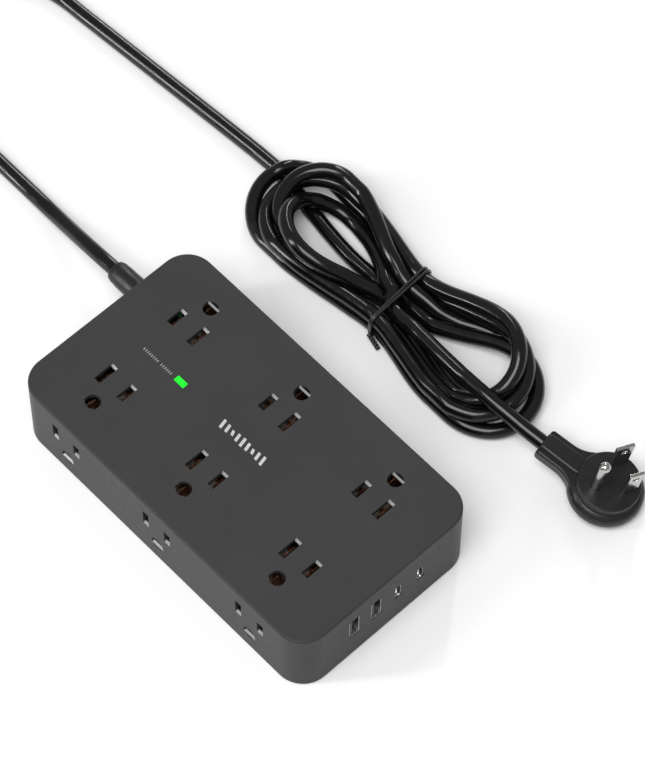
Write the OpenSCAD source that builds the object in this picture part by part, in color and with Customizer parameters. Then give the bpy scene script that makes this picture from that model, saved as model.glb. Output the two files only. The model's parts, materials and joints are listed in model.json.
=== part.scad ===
// Desktop power strip with surge protection: twelve outlets, four charging
// ports, a tied cord and a low-profile plug. Millimetres, +Z up. The origin is
// at the middle of the case, at the level of the feet. The cord end is +Y.

/* [Case] */
// Width of the case
case_w = 95.8; // [94:0.2:120]
// Length of the case
case_l = 170.8; // [168:0.2:210]
// Height of the case above its underside
case_h = 37.2; // [36.6:0.2:48]
// Radius of the four upright corners
corner_r = 12.6; // [9:0.2:14]
// Radius of the rounded top edge
edge_r = 1.0; // [0.6:0.1:1.6]
// Thickness of the case walls
wall = 2.2; // [1.8:0.1:2.4]
// Thickness of the bottom cover
cover_t = 2.2; // [2:0.1:3]
// Gap between the cover and the walls around it
fit_gap = 0.2; // [0.1:0.05:0.4]
// Radius of a rubber foot
foot_r = 5; // [3.5:0.5:7]
// Height of the feet below the case
foot_drop = 0.8; // [0.4:0.1:1.5]
// Depth of the foot recess in the cover
foot_sink = 0.8; // [0.5:0.1:1]

/* [Case screws] */
// Radius of the screw shank
screw_r = 1.2; // [1:0.05:1.5]
// Radius of the screw head
head_r = 2.7; // [2.2:0.1:3]
// Thickness of the screw head
head_t = 1.1; // [0.8:0.1:1.3]
// Length of the screw under its head
screw_l = 12; // [8:1:20]
// Radius of a screw post
post_r = 3.4; // [3:0.1:4]

/* [Outlets] */
// Distance between the outlets of one row
outlet_pitch = 55; // [50:0.5:56]
// Distance of a top row's slots from the middle
row_off = 19.55; // [19:0.05:20]
// Sideways place of the top outlet pattern
top_x = 0.5; // [0:0.1:1]
// Lengthways place of the top outlet pattern
top_y = 0.6; // [0:0.1:1]
// Height of the side slots' middle above the case underside
side_slot_z = 23.9; // [23:0.1:25]
// Distance between the two blade slots
blade_pitch = 12.7; // [12.5:0.1:13]
// Distance from the slots to the ground pin
ground_pitch = 11.9; // [11.7:0.1:12.1]
// Width of a blade slot
slot_t = 3.4; // [2.4:0.1:3.6]
// Length of the short slot
hot_slot = 8.5; // [7.5:0.1:9]
// Length of the long slot
neutral_slot = 10; // [9:0.1:10.4]
// Half width of the ground opening
ground_r = 3.35; // [3:0.05:3.5]
// Distance from the slots to the ground opening's flat side
ground_flat = 14.8; // [14.6:0.1:15.4]

/* [Contacts] */
// Thickness of the contact sheet metal
leaf_t = 0.6; // [0.4:0.1:0.8]
// Gap between the two leaves of a blade contact
blade_gap = 1.9; // [1.7:0.1:2.2]
// Gap between the two leaves of a ground contact
pin_gap = 4.9; // [4.8:0.1:5.2]
// Thickness of a contact tray
tray_t = 1.6; // [1.2:0.1:2]
// Depth of the tray's upper face below the top of the case
tray_depth = 21; // [20:0.1:22]
// Depth of the contacts' upper ends below the top of the case
contact_depth = 5.5; // [5:0.1:6]

/* [Charging ports] */
// Places of the two wide ports across the front
port_a_x = [-18.8, -6.8];
// Places of the two narrow ports across the front
port_c_x = [5.3, 17.5];
// Height of the wide ports above the case underside
port_a_z = 21.4; // [20:0.1:22]
// Height of the narrow ports above the case underside
port_c_z = 20.2; // [19:0.1:22]
// Thickness of a wide port's shell
port_a_t = 5.6; // [5.4:0.1:6]
// Height of a wide port's shell
port_a_h = 13.2; // [13:0.1:13.6]
// Thickness of a narrow port's shell
port_c_t = 3.5; // [3.2:0.1:3.8]
// Height of a narrow port's shell
port_c_h = 8.6; // [8.4:0.1:9.2]
// Depth of the port shells
port_d = 14; // [12:0.5:16]

/* [Indicator] */
// Place of the indicator along the case
lamp_y = 38.2; // [36:0.1:39]
// Size of the indicator window across the case
lamp_w = 2.8; // [2.4:0.1:3.2]
// Size of the indicator window along the case
lamp_l = 5.6; // [5:0.1:6]

/* [Breaker] */
// Sideways place of the breaker
breaker_x = -20; // [-21:0.5:-19]
// Radius of the breaker button
button_r = 2.95; // [2.5:0.05:3.2]
// Radial clearance of the button in its bushing
button_play = 0.07; // [0.04:0.01:0.1]
// Travel of the button
button_travel = 3; // [2:0.5:3]
// Radius of the breaker bushing
bushing_r = 4.6; // [4.4:0.1:5]

/* [Cord] */
// Diameter of the cord
cord_d = 6.8; // [6:0.1:7.4]
// Sideways place of the cord's exit
gland_x = 24.1; // [23.5:0.1:25]
// Height of the cord's exit above the case underside
gland_z = 17.5; // [17:0.1:18]
// Radius of the strain relief at the case
gland_r = 5.8; // [5.2:0.1:6.2]
// Radius of the strain relief at its end
gland_tip_r = 4.5; // [4.2:0.1:5]
// Length of the strain relief outside the case
gland_l = 21; // [20:0.5:30]
// Radius of the hank's round ends
hank_r = 24; // [22:0.5:26]
// Height of the hank
hank_h = 26.6; // [18:0.2:28]

/* [Plug] */
// Radius of the plug's face
face_r = 13.5; // [13.5:0.5:16]
// Radius of the plug's body
plug_r = 16.5; // [15:0.5:19]
// Thickness of the plug's raised face
face_t = 3; // [2:0.5:4]
// Thickness of the plug's body under the face
plug_t = 11; // [10:0.5:13]
// Rounding of the plug's back edge
plug_round = 6; // [4:0.5:8]
// Width of the plug's neck
neck_w = 13; // [11:0.5:15]
// Height of the plug's neck
neck_h = 9; // [8:0.5:10]
// Distance from the plug's middle to the end of its neck
neck_l = 32; // [28:0.5:40]
// Thickness of a blade
blade_t = 1.5; // [1.4:0.05:1.6]
// Width of the hot blade
hot_blade_w = 6.35; // [6.2:0.05:6.5]
// Width of the neutral blade
neutral_blade_w = 7.9; // [7.7:0.1:8]
// Length of a blade outside the plug
blade_l = 17.5; // [16:0.5:18]
// Radius of the ground pin
pin_r = 2.375; // [2.3:0.025:2.4]
// Length of the ground pin outside the plug
pin_l = 20.5; // [19:0.5:22]

/* [Hidden] */
$fn = 48;

over = 0.5;                             // how far a cut runs past a face
floor_z = foot_drop;                    // underside of the case
cover_top = floor_z + cover_t;
top_z = floor_z + case_h;               // top of the case
ceiling_z = top_z - wall;
front_y = -case_l/2;
back_y = case_l/2;
tray_top = top_z - tray_depth;
blade_y = blade_pitch/2;
row_ends = outlet_pitch + 11;           // half length of a bus
side_blade_z = floor_z + side_slot_z;

// screw posts, kept clear of the outlets and boards
post_x = case_w/2 - 13.4;
post_y = case_l/2 - 9.4;
posts = [[-post_x, -post_y], [post_x, -post_y], [-post_x, post_y], [post_x, post_y],
         [0, -6], [0, post_y]];
feet = [for (x = [-1, 1], y = [-1, 1]) [x*(case_w/2 - 12), y*(case_l/2 - 27)]];

// keyholes in the cover
keyhole_y = 45;
keyhole_r = 4.2;
keyhole_neck = 4.4;
keyhole_run = 8;
keyhole_depth = 4.5;

// boards
board_t = 1.6;
board_z = 12;
board_w = 20;
surge_y = [4, 66];
power_y = [-66, -16];
peg_x = 7.5;
peg_in = 2.6;                           // pegs stand this far inside a board's ends

// breaker
breaker_z = floor_z + 18.3;
recess_d = 1;
recess_r = 7.2;
button_flange = 4;
shoulder_y = back_y - wall - 0.7;
breaker_back = shoulder_y + 0.5;        // outer end of the breaker's box
breaker_d = 14.5;

// cord
cord_r = cord_d/2;
gland_pos = [gland_x, back_y, floor_z + gland_z];
gland_end = back_y + gland_l;
clamp_y = back_y - 11.4;                // middle of the clamp
stub_end = back_y - 16.6;               // inner end of the cord's jacket
// the run from the strain relief out to the turn and back to the hank
run_points = [[gland_x, gland_end, gland_pos[2]], [24.4, 116, 17], [25.6, 128, 13.4],
              [27.4, 141, 8.4], [28.9, 154, 4.6], [29.5, 168, cord_r], [29.6, 188, cord_r],
              [29.6, 208, cord_r], [30.4, 226, cord_r], [34, 243, cord_r],
              [42, 258, cord_r], [54, 268, cord_r], [68, 271.5, cord_r],
              [82, 269.5, cord_r], [94.5, 262, cord_r], [103, 250, cord_r],
              [106.6, 236, cord_r], [107.8, 220, cord_r], [109, 202, cord_r],
              [110.2, 184, cord_r], [111.4, 166, cord_r], [112.6, 148, cord_r],
              [113.8, 130, cord_r], [114.6, 116, cord_r], [115, 102.5, cord_r]];
hank_top = [106.5, 80];                 // middle of the hank's far end
hank_low = [104.5, -36.5];              // middle of its near end
tie_y = 18;
tie_x = 104;
tie_w = 17.5;                           // half width of the hank at the tie

// plug, tipped on its rounded back by the cord that lies on the hank
plug_pos = [105, -106.2, 15.6];
plug_turn = 10;
plug_lift = 9;
blade_turn = -33;
neck_z = -face_t - plug_t/2;            // middle of the neck below the face
neck_out = neck_l*cos(plug_lift) - neck_z*sin(plug_lift);
neck_end = plug_pos + [-neck_out*sin(plug_turn), neck_out*cos(plug_turn),
                       neck_l*sin(plug_lift) + neck_z*cos(plug_lift)];
tail_points = [[97.4, -58.8, 14.4], [98.1, -66.2, 13.5], neck_end];

// ---- shared shapes -------------------------------------------------------

module box(low, high) translate(low) cube(high - low);

module rounded(w, l, r) {
    square([w - 2*r, l], center = true);
    square([w, l - 2*r], center = true);
    for (x = [-1, 1], y = [-1, 1]) translate([x*(w/2 - r), y*(l/2 - r)]) circle(r, $fn = 96);
}

// a block with upright round corners and a rounded top edge
module soft_block(w, l, h, r, e) {
    linear_extrude(h - e) rounded(w, l, r);
    linear_extrude(h) rounded(w - 2*e, l - 2*e, r - e);
    for (x = [-1, 1]) translate([x*(w/2 - e), 0, h - e])
        rotate([90, 0, 0]) cylinder(h = l - 2*r, r = e, center = true);
    for (y = [-1, 1]) translate([0, y*(l/2 - e), h - e])
        rotate([0, 90, 0]) cylinder(h = w - 2*r, r = e, center = true);
    for (x = [-1, 1], y = [-1, 1]) translate([x*(w/2 - r), y*(l/2 - r), h - e])
        rotate_extrude($fn = 96) translate([r - e, 0]) circle(e);
}

// a bent wire: straight lengths, with an elbow a little fuller than the wire
module wire(points, r) {
    for (i = [0 : len(points) - 2]) {
        a = points[i];
        d = points[i + 1] - a;
        n = norm(d);
        translate(a) rotate([0, acos(d[2]/n), atan2(d[1], d[0])])
            cylinder(h = n, r = r, $fn = 24);
    }
    for (i = [1 : 1 : len(points) - 2]) translate(points[i]) sphere(1.12*r, $fn = 24);
}

function unit(v) = v/norm(v);
function heading(p, i) = unit(p[min(i + 1, len(p) - 1)] - p[max(i - 1, 0)]);
// rings of a tube along the points, each square to the route
function ring(p, i, r, n) =
    let (t = heading(p, i), s = unit(cross(t, [0, 0, 1])), u = cross(s, t))
    [for (k = [0 : n - 1]) p[i] + r*(cos(360*(k + 0.5)/n)*s + sin(360*(k + 0.5)/n)*u)];
function tube_faces(m, n) = concat(
    [[for (k = [0 : n - 1]) k]],
    [for (i = [0 : m - 2], k = [0 : n - 1]) let (a = i*n + k, b = i*n + (k + 1) % n)
        [a, a + n, b + n, b]],
    [[for (k = [n - 1 : -1 : 0]) (m - 1)*n + k]]);

module tube(p, r, n = 10)
    polyhedron([for (i = [0 : len(p) - 1]) each ring(p, i, r, n)], tube_faces(len(p), n));

// ---- places of the outlets -----------------------------------------------
// In an outlet's own frame the face is at z = 0 and looks along +Z, the ground
// opening is towards -X and the long slot is at +Y.

module top_row(side) translate([top_x, top_y, top_z]) rotate(side < 0 ? 0 : 180)
    translate([-row_off, 0, 0]) children();

module side_row(side) rotate(side < 0 ? 0 : 180)
    translate([-case_w/2, 0, side_blade_z]) rotate([0, -90, 0]) children();

module along_row() for (k = [-1, 0, 1]) translate([0, k*outlet_pitch, 0]) children();

module outlet_cut() {
    depth = wall + 2*over;
    translate([0, 0, -wall - over]) linear_extrude(depth) {
        translate([0, blade_y]) square([neutral_slot, slot_t], center = true);
        translate([0, -blade_y]) square([hot_slot, slot_t], center = true);
        translate([-ground_flat + 2.05, 0]) circle(ground_r);
        translate([-ground_flat, -ground_r]) square([2.05, 2*ground_r]);
    }
}

// ---- case ----------------------------------------------------------------

module port_cut(x, z, w, h)
    box([x - w/2 - 0.1, front_y - over, floor_z + z - h/2 - 0.1],
        [x + w/2 + 0.1, front_y + wall + over, floor_z + z + h/2 + 0.1]);

module top_housing() {
    color([0.13, 0.13, 0.135]) difference() {
        union() {
            difference() {
                translate([0, 0, floor_z]) soft_block(case_w, case_l, case_h, corner_r, edge_r);
                translate([0, 0, floor_z - over]) linear_extrude(case_h - wall + over)
                    rounded(case_w - 2*wall, case_l - 2*wall, corner_r - wall);
            }
            for (p = posts) translate([p[0], p[1], cover_top])
                cylinder(h = ceiling_z - cover_top, r = post_r);
        }
        for (p = posts) translate([p[0], p[1], cover_top - over])
            cylinder(h = screw_l + 1, r = screw_r + 0.05);
        for (s = [-1, 1]) {
            top_row(s) along_row() outlet_cut();
            side_row(s) along_row() outlet_cut();
        }
        for (x = port_a_x) port_cut(x, port_a_z, port_a_t, port_a_h);
        for (x = port_c_x) port_cut(x, port_c_z, port_c_t, port_c_h);
        translate([top_x, lamp_y, ceiling_z - over]) linear_extrude(wall + 2*over)
            square([lamp_w + 0.1, lamp_l + 0.1], center = true);
        translate([gland_x, back_y + over, gland_pos[2]]) rotate([90, 0, 0])
            cylinder(h = wall + 2*over, r = gland_r + 0.1);
        translate([breaker_x, back_y + over, breaker_z]) rotate([90, 0, 0]) {
            cylinder(h = wall + 2*over, r = bushing_r + 0.1);
            cylinder(h = recess_d + over, r = recess_r);
        }
    }
}

module keyhole_pocket(grow, top)
    box([-6.5 - grow, -6 - grow, 0], [6.5 + grow, keyhole_run + 5 + grow, top]);

module board_pegs(span) for (x = [-1, 1], y = [span[0] + peg_in, span[1] - peg_in])
    translate([top_x + x*peg_x, y, cover_top - over]) cylinder(h = board_z - cover_top + over, r = 2);

module bottom_cover() {
    color([0.1, 0.1, 0.105]) difference() {
        union() {
            translate([0, 0, floor_z]) linear_extrude(cover_t)
                rounded(case_w - 2*(wall + fit_gap), case_l - 2*(wall + fit_gap),
                        corner_r - wall - fit_gap);
            for (s = [-1, 1]) translate([0, s*keyhole_y, floor_z])
                keyhole_pocket(1.5, cover_t + keyhole_depth + 1.2);
            board_pegs(surge_y);
            board_pegs(power_y);
            box([gland_x - 6, clamp_y - 4, floor_z + 1], [gland_x + 6, clamp_y + 4, gland_pos[2] - 1]);
        }
        for (s = [-1, 1]) translate([0, s*keyhole_y, cover_top]) {
            keyhole_pocket(0, keyhole_depth);
            translate([0, 0, -cover_t - over]) cylinder(h = cover_t + 2*over, r = keyhole_r);
            translate([0, 0, -cover_t - over]) linear_extrude(cover_t + 2*over) {
                translate([-keyhole_neck/2, 0]) square([keyhole_neck, keyhole_run]);
                translate([0, keyhole_run]) circle(keyhole_neck/2);
            }
        }
        for (p = posts) translate([p[0], p[1], floor_z - over]) {
            cylinder(h = cover_t + 2*over, r = screw_r + 0.2);
            cylinder(h = over + head_t + 0.2, r = head_r + 0.2);
        }
        for (p = feet) translate([p[0], p[1], floor_z - over])
            cylinder(h = foot_sink + over, r = foot_r + 0.1);
        translate([gland_x, clamp_y + 5, gland_pos[2]]) rotate([90, 0, 0])
            cylinder(h = 10, r = cord_r + 0.05);
        for (x = [-1, 1]) translate([gland_x + x*4.9, clamp_y, gland_pos[2] - 9])
            cylinder(h = 12, r = 0.9);
    }
}

module rubber_feet() color([0.06, 0.06, 0.06]) for (p = feet) translate([p[0], p[1], 0]) {
    cylinder(h = foot_drop + foot_sink, r = foot_r - 0.5);
    translate([0, 0, 0.4]) cylinder(h = foot_drop + foot_sink - 0.4, r = foot_r);
}

module case_screws() color([0.55, 0.55, 0.56]) for (p = posts)
    translate([p[0], p[1], floor_z + 0.15]) difference() {
        union() {
            cylinder(h = head_t, r = head_r);
            cylinder(h = head_t + screw_l, r = screw_r);
        }
        for (a = [0, 90]) rotate(a) translate([-1.6, -0.3, -over]) cube([3.2, 0.6, over + 0.6]);
    }

module indicator_lens() color([0.1, 0.9, 0.15]) translate([top_x, lamp_y, 0]) {
    translate([0, 0, ceiling_z - 1.2]) linear_extrude(1.2)
        square([lamp_w + 2, lamp_l + 2], center = true);
    translate([0, 0, ceiling_z - 1.2]) linear_extrude(wall + 1.2)
        square([lamp_w, lamp_l], center = true);
}

module indicator_lamp() color([0.8, 0.95, 0.8]) translate([top_x, lamp_y, 0]) {
    translate([0, 0, ceiling_z - 7]) cylinder(h = 4, r = 1.5);
    translate([0, 0, ceiling_z - 3]) sphere(1.5);
    for (y = [-0.8, 0.8]) translate([0, y, board_z + board_t])
        cylinder(h = ceiling_z - 6.5 - board_z - board_t, r = 0.25, $fn = 16);
}

// ---- contacts ------------------------------------------------------------

tray_edge = -16.8;                      // outer edge of a tray and of its ground strip
module contact_tray(side) {
    legs = [for (x = [tray_edge + 2.4, 4.4], y = [-1, 1]) [x, y*outlet_pitch/2]];
    color([0.75, 0.74, 0.7]) top_row(side) difference() {
        union() {
            box([tray_edge, -row_ends, -tray_depth - tray_t], [7.6, row_ends, -tray_depth]);
            for (p = legs) translate([p[0], p[1], cover_top - top_z])
                cylinder(h = tray_top - cover_top - tray_t + over, r = 2.2);
        }
        for (y = [-1, 1]) translate([-6.2, y*outlet_pitch/2, -tray_depth - 2*tray_t])
            cylinder(h = 3*tray_t, r = 4);
    }
}
module left_contact_tray() contact_tray(-1);
module right_contact_tray() contact_tray(1);

// a pair of leaves that grips a blade or pin, between two places along X
module leaves(x0, x1, z0, z1, gap) for (s = [-1, 1])
    box([x0, s > 0 ? gap/2 : -gap/2 - leaf_t, z0], [x1, s > 0 ? gap/2 + leaf_t : -gap/2, z1]);

// a stamped bus with its three contacts, for the top rows
module top_bus(strip_x, leaf_x0, leaf_x1, y, gap, strip_z) {
    box([strip_x, -row_ends, strip_z[0]], [strip_x + 0.8, row_ends, strip_z[1]]);
    along_row() translate([0, y, 0]) leaves(leaf_x0, leaf_x1, -tray_depth, -contact_depth, gap);
}
low_strip = [-tray_depth, -tray_depth + 4];
high_strip = [-contact_depth - 2.5, -contact_depth];
module hot_bus_top(s) color([0.8, 0.55, 0.3]) top_row(s)
    top_bus(6, -3.6, 6.4, -blade_y, blade_gap, low_strip);
module neutral_bus_top(s) color([0.85, 0.65, 0.35]) top_row(s)
    top_bus(-6.8, -6.4, 3.6, blade_y, blade_gap, low_strip);
module ground_bus_top(s) color([0.75, 0.6, 0.35]) top_row(s)
    top_bus(tray_edge, tray_edge + 0.4, -9.4, 0, pin_gap, high_strip);
module hot_bus_top_left() hot_bus_top(-1);
module neutral_bus_top_left() neutral_bus_top(-1);
module ground_bus_top_left() ground_bus_top(-1);
module hot_bus_top_right() hot_bus_top(1);
module neutral_bus_top_right() neutral_bus_top(1);
module ground_bus_top_right() ground_bus_top(1);

// a stamped bus for the side rows: its strip stands against the holder
strip_face = -wall - 0.8;
side_leaf = -10.9;
hot_strip = [5.3, 9.3];
neutral_strip = [-9.3, -5.7];
ground_strip = [-20.1, -16.5];
module side_bus(strip, leaf_x0, leaf_x1, y, gap) {
    box([strip[0], -row_ends, strip_face - 0.8], [strip[1], row_ends, strip_face]);
    along_row() translate([0, y, 0]) leaves(leaf_x0, leaf_x1, side_leaf, strip_face - 0.4, gap);
}
module hot_bus_side(s) color([0.8, 0.55, 0.3]) side_row(s)
    side_bus(hot_strip, -3.4, hot_strip[1], -blade_y, blade_gap);
module neutral_bus_side(s) color([0.85, 0.65, 0.35]) side_row(s)
    side_bus(neutral_strip, neutral_strip[0], 3.4, blade_y, blade_gap);
module ground_bus_side(s) color([0.75, 0.6, 0.35]) side_row(s)
    side_bus(ground_strip, ground_strip[0], -9.6, 0, pin_gap);
module hot_bus_side_left() hot_bus_side(-1);
module neutral_bus_side_left() neutral_bus_side(-1);
module ground_bus_side_left() ground_bus_side(-1);
module hot_bus_side_right() hot_bus_side(1);
module neutral_bus_side_right() neutral_bus_side(1);
module ground_bus_side_right() ground_bus_side(1);

// a comb on the cover that the side buses slide into
module side_holder(s) {
    base_u = cover_top - side_blade_z;
    color([0.75, 0.74, 0.7]) side_row(s) difference() {
        union() {
            box([base_u, -row_ends, -8.3], [base_u + 1.4, row_ends, -wall - 0.3]);
            for (v = [-row_ends + 1.4, -outlet_pitch/2, outlet_pitch/2, row_ends - 1.4])
                box([base_u, v - 1.4, -8.3], [hot_strip[1] + 0.9, v + 1.4, -wall - 0.3]);
        }
        for (u = [hot_strip, neutral_strip, ground_strip])
            box([u[0] - 0.1, -row_ends - over, strip_face - 0.9],
                [u[1] + 0.1, row_ends + over, strip_face + 0.1]);
    }
}
module left_side_holder() side_holder(-1);
module right_side_holder() side_holder(1);

// ---- boards --------------------------------------------------------------

board_top = board_z + board_t;
module board(span) box([top_x - board_w/2, span[0], board_z], [top_x + board_w/2, span[1], board_top]);
module surge_board() color([0.12, 0.42, 0.2]) board(surge_y);
module usb_power_board() color([0.12, 0.42, 0.2]) board(power_y);

module leads(x, y, gap, up) for (s = [-1, 1]) translate([x + s*gap, y, board_top])
    cylinder(h = up, r = 0.35, $fn = 16);

varistor_r = 6.8;
module varistors() color([0.15, 0.35, 0.7]) for (y = [9.5, 18.5, 27.5]) {
    translate([top_x, y, board_top + 2.5 + varistor_r]) rotate([90, 0, 0])
        cylinder(h = 4.4, r = varistor_r, center = true);
    leads(top_x, y, 3.7, 5);
}

module thermal_fuse() color([0.85, 0.83, 0.78]) {
    translate([top_x, 33, board_top + 3]) rotate([0, 90, 0]) cylinder(h = 9, r = 1.9, center = true);
    wire([[top_x - 7.5, 33, board_top], [top_x - 7.5, 33, board_top + 3], [top_x - 4, 33, board_top + 3]], 0.4);
    wire([[top_x + 7.5, 33, board_top], [top_x + 7.5, 33, board_top + 3], [top_x + 4, 33, board_top + 3]], 0.4);
}

module filter_capacitor() color([0.75, 0.65, 0.2])
    box([top_x - 8.5, 46, board_top], [top_x + 8.5, 54, board_top + 12]);

module usb_transformer() color([0.25, 0.23, 0.2]) translate([top_x, -30, board_top]) {
    translate([-8, -7, 0]) cube([16, 14, 3]);
    translate([-5.5, -7, 3]) cube([11, 14, 9]);
    translate([-8, -4.5, 3]) cube([16, 9, 9]);
}

module usb_capacitors() color([0.1, 0.12, 0.3]) for (x = [-5, 5], y = [-44, -55])
    translate([top_x + x, y, board_top]) cylinder(h = y < -50 ? 14 : 17, r = 4.2);

port_in = front_y + 0.3;                // front edge of the ports
module usb_port_board() color([0.12, 0.42, 0.2])
    box([-25, port_in + port_d, floor_z + 9], [24, port_in + port_d + board_t, floor_z + 31]);

module usb_a_shell(x) color([0.78, 0.79, 0.8]) translate([x, port_in, floor_z + port_a_z])
    difference() {
        box([-port_a_t/2, 0, -port_a_h/2], [port_a_t/2, port_d, port_a_h/2]);
        box([-port_a_t/2 + 0.35, -over, -port_a_h/2 + 0.35],
            [port_a_t/2 - 0.35, port_d - 1, port_a_h/2 - 0.35]);
    }
module usb_a_tongue(x) color([0.92, 0.92, 0.9]) translate([x, port_in, floor_z + port_a_z])
    box([-port_a_t/2 + 0.6, 0.8, -5.6], [-port_a_t/2 + 2.4, port_d - 1, 5.6]);
module usb_a_shell_1() usb_a_shell(port_a_x[0]);
module usb_a_shell_2() usb_a_shell(port_a_x[1]);
module usb_a_tongue_1() usb_a_tongue(port_a_x[0]);
module usb_a_tongue_2() usb_a_tongue(port_a_x[1]);

module stadium(w, h) {
    square([w, h - w], center = true);
    for (s = [-1, 1]) translate([0, s*(h - w)/2]) circle(w/2);
}
module usb_c_port(x) color([0.75, 0.76, 0.78]) translate([x, port_in + port_d, floor_z + port_c_z])
    rotate([90, 0, 0]) {
        difference() {
            linear_extrude(port_d) stadium(port_c_t, port_c_h);
            translate([0, 0, 2]) linear_extrude(port_d) stadium(port_c_t - 0.6, port_c_h - 0.6);
        }
        translate([0, 0, 1]) linear_extrude(port_d - 2) square([0.8, 6], center = true);
    }
module usb_c_port_1() usb_c_port(port_c_x[0]);
module usb_c_port_2() usb_c_port(port_c_x[1]);

// ---- breaker -------------------------------------------------------------

// local frame: +Z is outwards through the back wall, z = 0 at the wall's outer face
module at_breaker() translate([breaker_x, back_y, breaker_z]) rotate([-90, 0, 0]) children();
box_front = breaker_back - back_y;
shoulder = shoulder_y - back_y;

module breaker_body() color([0.2, 0.2, 0.21]) at_breaker() difference() {
    union() {
        box([-7, -7.5, box_front - breaker_d], [7, 7.5, box_front]);
        translate([0, 0, box_front - 1]) cylinder(h = 1 - box_front - 0.2, r = bushing_r);
    }
    cylinder(h = 60, r = button_r + button_play, center = true);
    translate([0, 0, shoulder - 11]) cylinder(h = 11, r = button_flange + 0.4);
    box([-5, -5, box_front - breaker_d + 1.2], [5, 5, shoulder - 10]);
}

module breaker_nut() color([0.12, 0.12, 0.12]) at_breaker() difference() {
    translate([0, 0, -recess_d]) cylinder(h = recess_d - 0.2, r = recess_r - 0.5);
    translate([0, 0, -recess_d - over]) cylinder(h = recess_d + 2*over, r = bushing_r + 0.05);
}

module breaker_button() color([0.1, 0.1, 0.1]) at_breaker() {
    translate([0, 0, -15]) cylinder(h = 14.6, r = button_r);
    translate([0, 0, shoulder - button_travel - 1.5]) cylinder(h = 1.2, r = button_flange);
}

module breaker_terminals() color([0.8, 0.7, 0.4]) at_breaker() for (x = [-4, 4])
    box([x - 0.4, 7.5, box_front - 11], [x + 0.4, 13, box_front - 5]);

// ---- wires ---------------------------------------------------------------

wire_r = 0.9;
core_gap = 2.1;                         // sideways pitch of the three cores
core_y = stub_end - 1.3;                // where the cores turn down or up
tab_z = breaker_z - 12;
tab_y = breaker_back - 8;
low_z = floor_z + 6.4;

module line_wire() color([0.1, 0.1, 0.1]) wire([[gland_x - core_gap, stub_end, gland_pos[2]],
    [gland_x - core_gap, core_y, gland_pos[2]], [gland_x - core_gap, core_y, low_z + 3],
    [breaker_x + 5.3, core_y, low_z + 3], [breaker_x + 5.3, tab_y, low_z + 3]], wire_r);

module neutral_wire() color([0.9, 0.9, 0.88]) wire([[gland_x, stub_end, gland_pos[2]],
    [gland_x, core_y, gland_pos[2]], [gland_x, core_y, low_z], [top_x + 12, core_y, low_z],
    [top_x + 12, surge_y[1] - 8, low_z], [top_x + 8.9, surge_y[1] - 8, low_z],
    [top_x + 8.9, surge_y[1] - 8, board_z]], wire_r);

module ground_wire() color([0.1, 0.5, 0.2]) wire([[gland_x + core_gap, stub_end, gland_pos[2]],
    [gland_x + core_gap, core_y, gland_pos[2]], [gland_x + core_gap, core_y, top_z - 6.8],
    [top_x + row_off + 16.6, core_y, top_z - 6.8],
    [top_x + row_off + 16.6, top_y + row_ends, top_z - 6.8]], wire_r);

module breaker_wire() color([0.1, 0.1, 0.1]) wire([[breaker_x - 5.3, tab_y, low_z],
    [breaker_x - 5.3, surge_y[1] - 8, low_z], [top_x - 9.6, surge_y[1] - 8, low_z],
    [top_x - 9.6, surge_y[1] - 8, board_z]], wire_r);

// the wires leave the surge board and reach one bus each side
hot_x = row_off - 6.8;
module hot_jumpers() color([0.1, 0.1, 0.1]) {
    for (s = [-1, 1]) {
        x = top_x + s*8.4;
        wire([[x, 42, board_top], [x, 42, tray_top + 2], [top_x + s*hot_x, 42, tray_top + 2]], wire_r);
        wire([[x, 20, board_z], [x, 20, low_z], [s*(case_w/2 - 6.4), 20, low_z],
              [s*(case_w/2 - 6.4), 20, side_blade_z + 7.3],
              [s*(case_w/2 + strip_face - 0.8), 20, side_blade_z + 7.3]], wire_r);
    }
}

neutral_x = row_off + 6.4;
module neutral_jumpers() color([0.9, 0.9, 0.88]) for (s = [-1, 1]) {
    x = top_x + s*8.4;
    wire([[x, 38, board_top], [x, 38, ceiling_z - 1.8], [top_x + s*neutral_x, 38, ceiling_z - 1.8],
          [top_x + s*neutral_x, 38, tray_top + 4]], wire_r);
    wire([[x, 14, board_z], [x, 14, low_z], [s*(case_w/2 - 6.4), 14, low_z],
          [s*(case_w/2 - 6.4), 14, side_blade_z - 7.5],
          [s*(case_w/2 + strip_face - 0.8), 14, side_blade_z - 7.5]], wire_r);
}

ground_x = row_off - tray_edge - 0.8;
module ground_jumpers() color([0.1, 0.5, 0.2]) {
    z = top_z - contact_depth - 1.2;
    wire([[top_x - ground_x, 23, z], [top_x + ground_x, 23, z]], wire_r);
    for (s = [-1, 1]) wire([[top_x + s*(ground_x + 0.8), 24, z], [s*(case_w/2 - 7), 24, z],
        [s*(case_w/2 - 7), 24, floor_z + 5], [s*(case_w/2 + strip_face - 0.8), 24, floor_z + 5]], wire_r);
}

// ---- cord ----------------------------------------------------------------

module cord_clamp() color([0.16, 0.16, 0.16]) difference() {
    box([gland_x - 6, clamp_y - 4, gland_pos[2] - 0.9], [gland_x + 6, clamp_y + 4, gland_pos[2] + 6]);
    translate([gland_x, clamp_y + 5, gland_pos[2]]) rotate([90, 0, 0])
        cylinder(h = 10, r = cord_r + 0.05);
    for (x = [-1, 1]) translate([gland_x + x*4.9, clamp_y, gland_pos[2] - 2]) cylinder(h = 12, r = 1);
}

module clamp_screws() color([0.55, 0.55, 0.56]) for (x = [-1, 1])
    translate([gland_x + x*4.9, clamp_y, gland_pos[2] + 6]) {
        cylinder(h = 1.2, r = 1.8);
        translate([0, 0, -14]) cylinder(h = 14.5, r = 0.85);
    }

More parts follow.
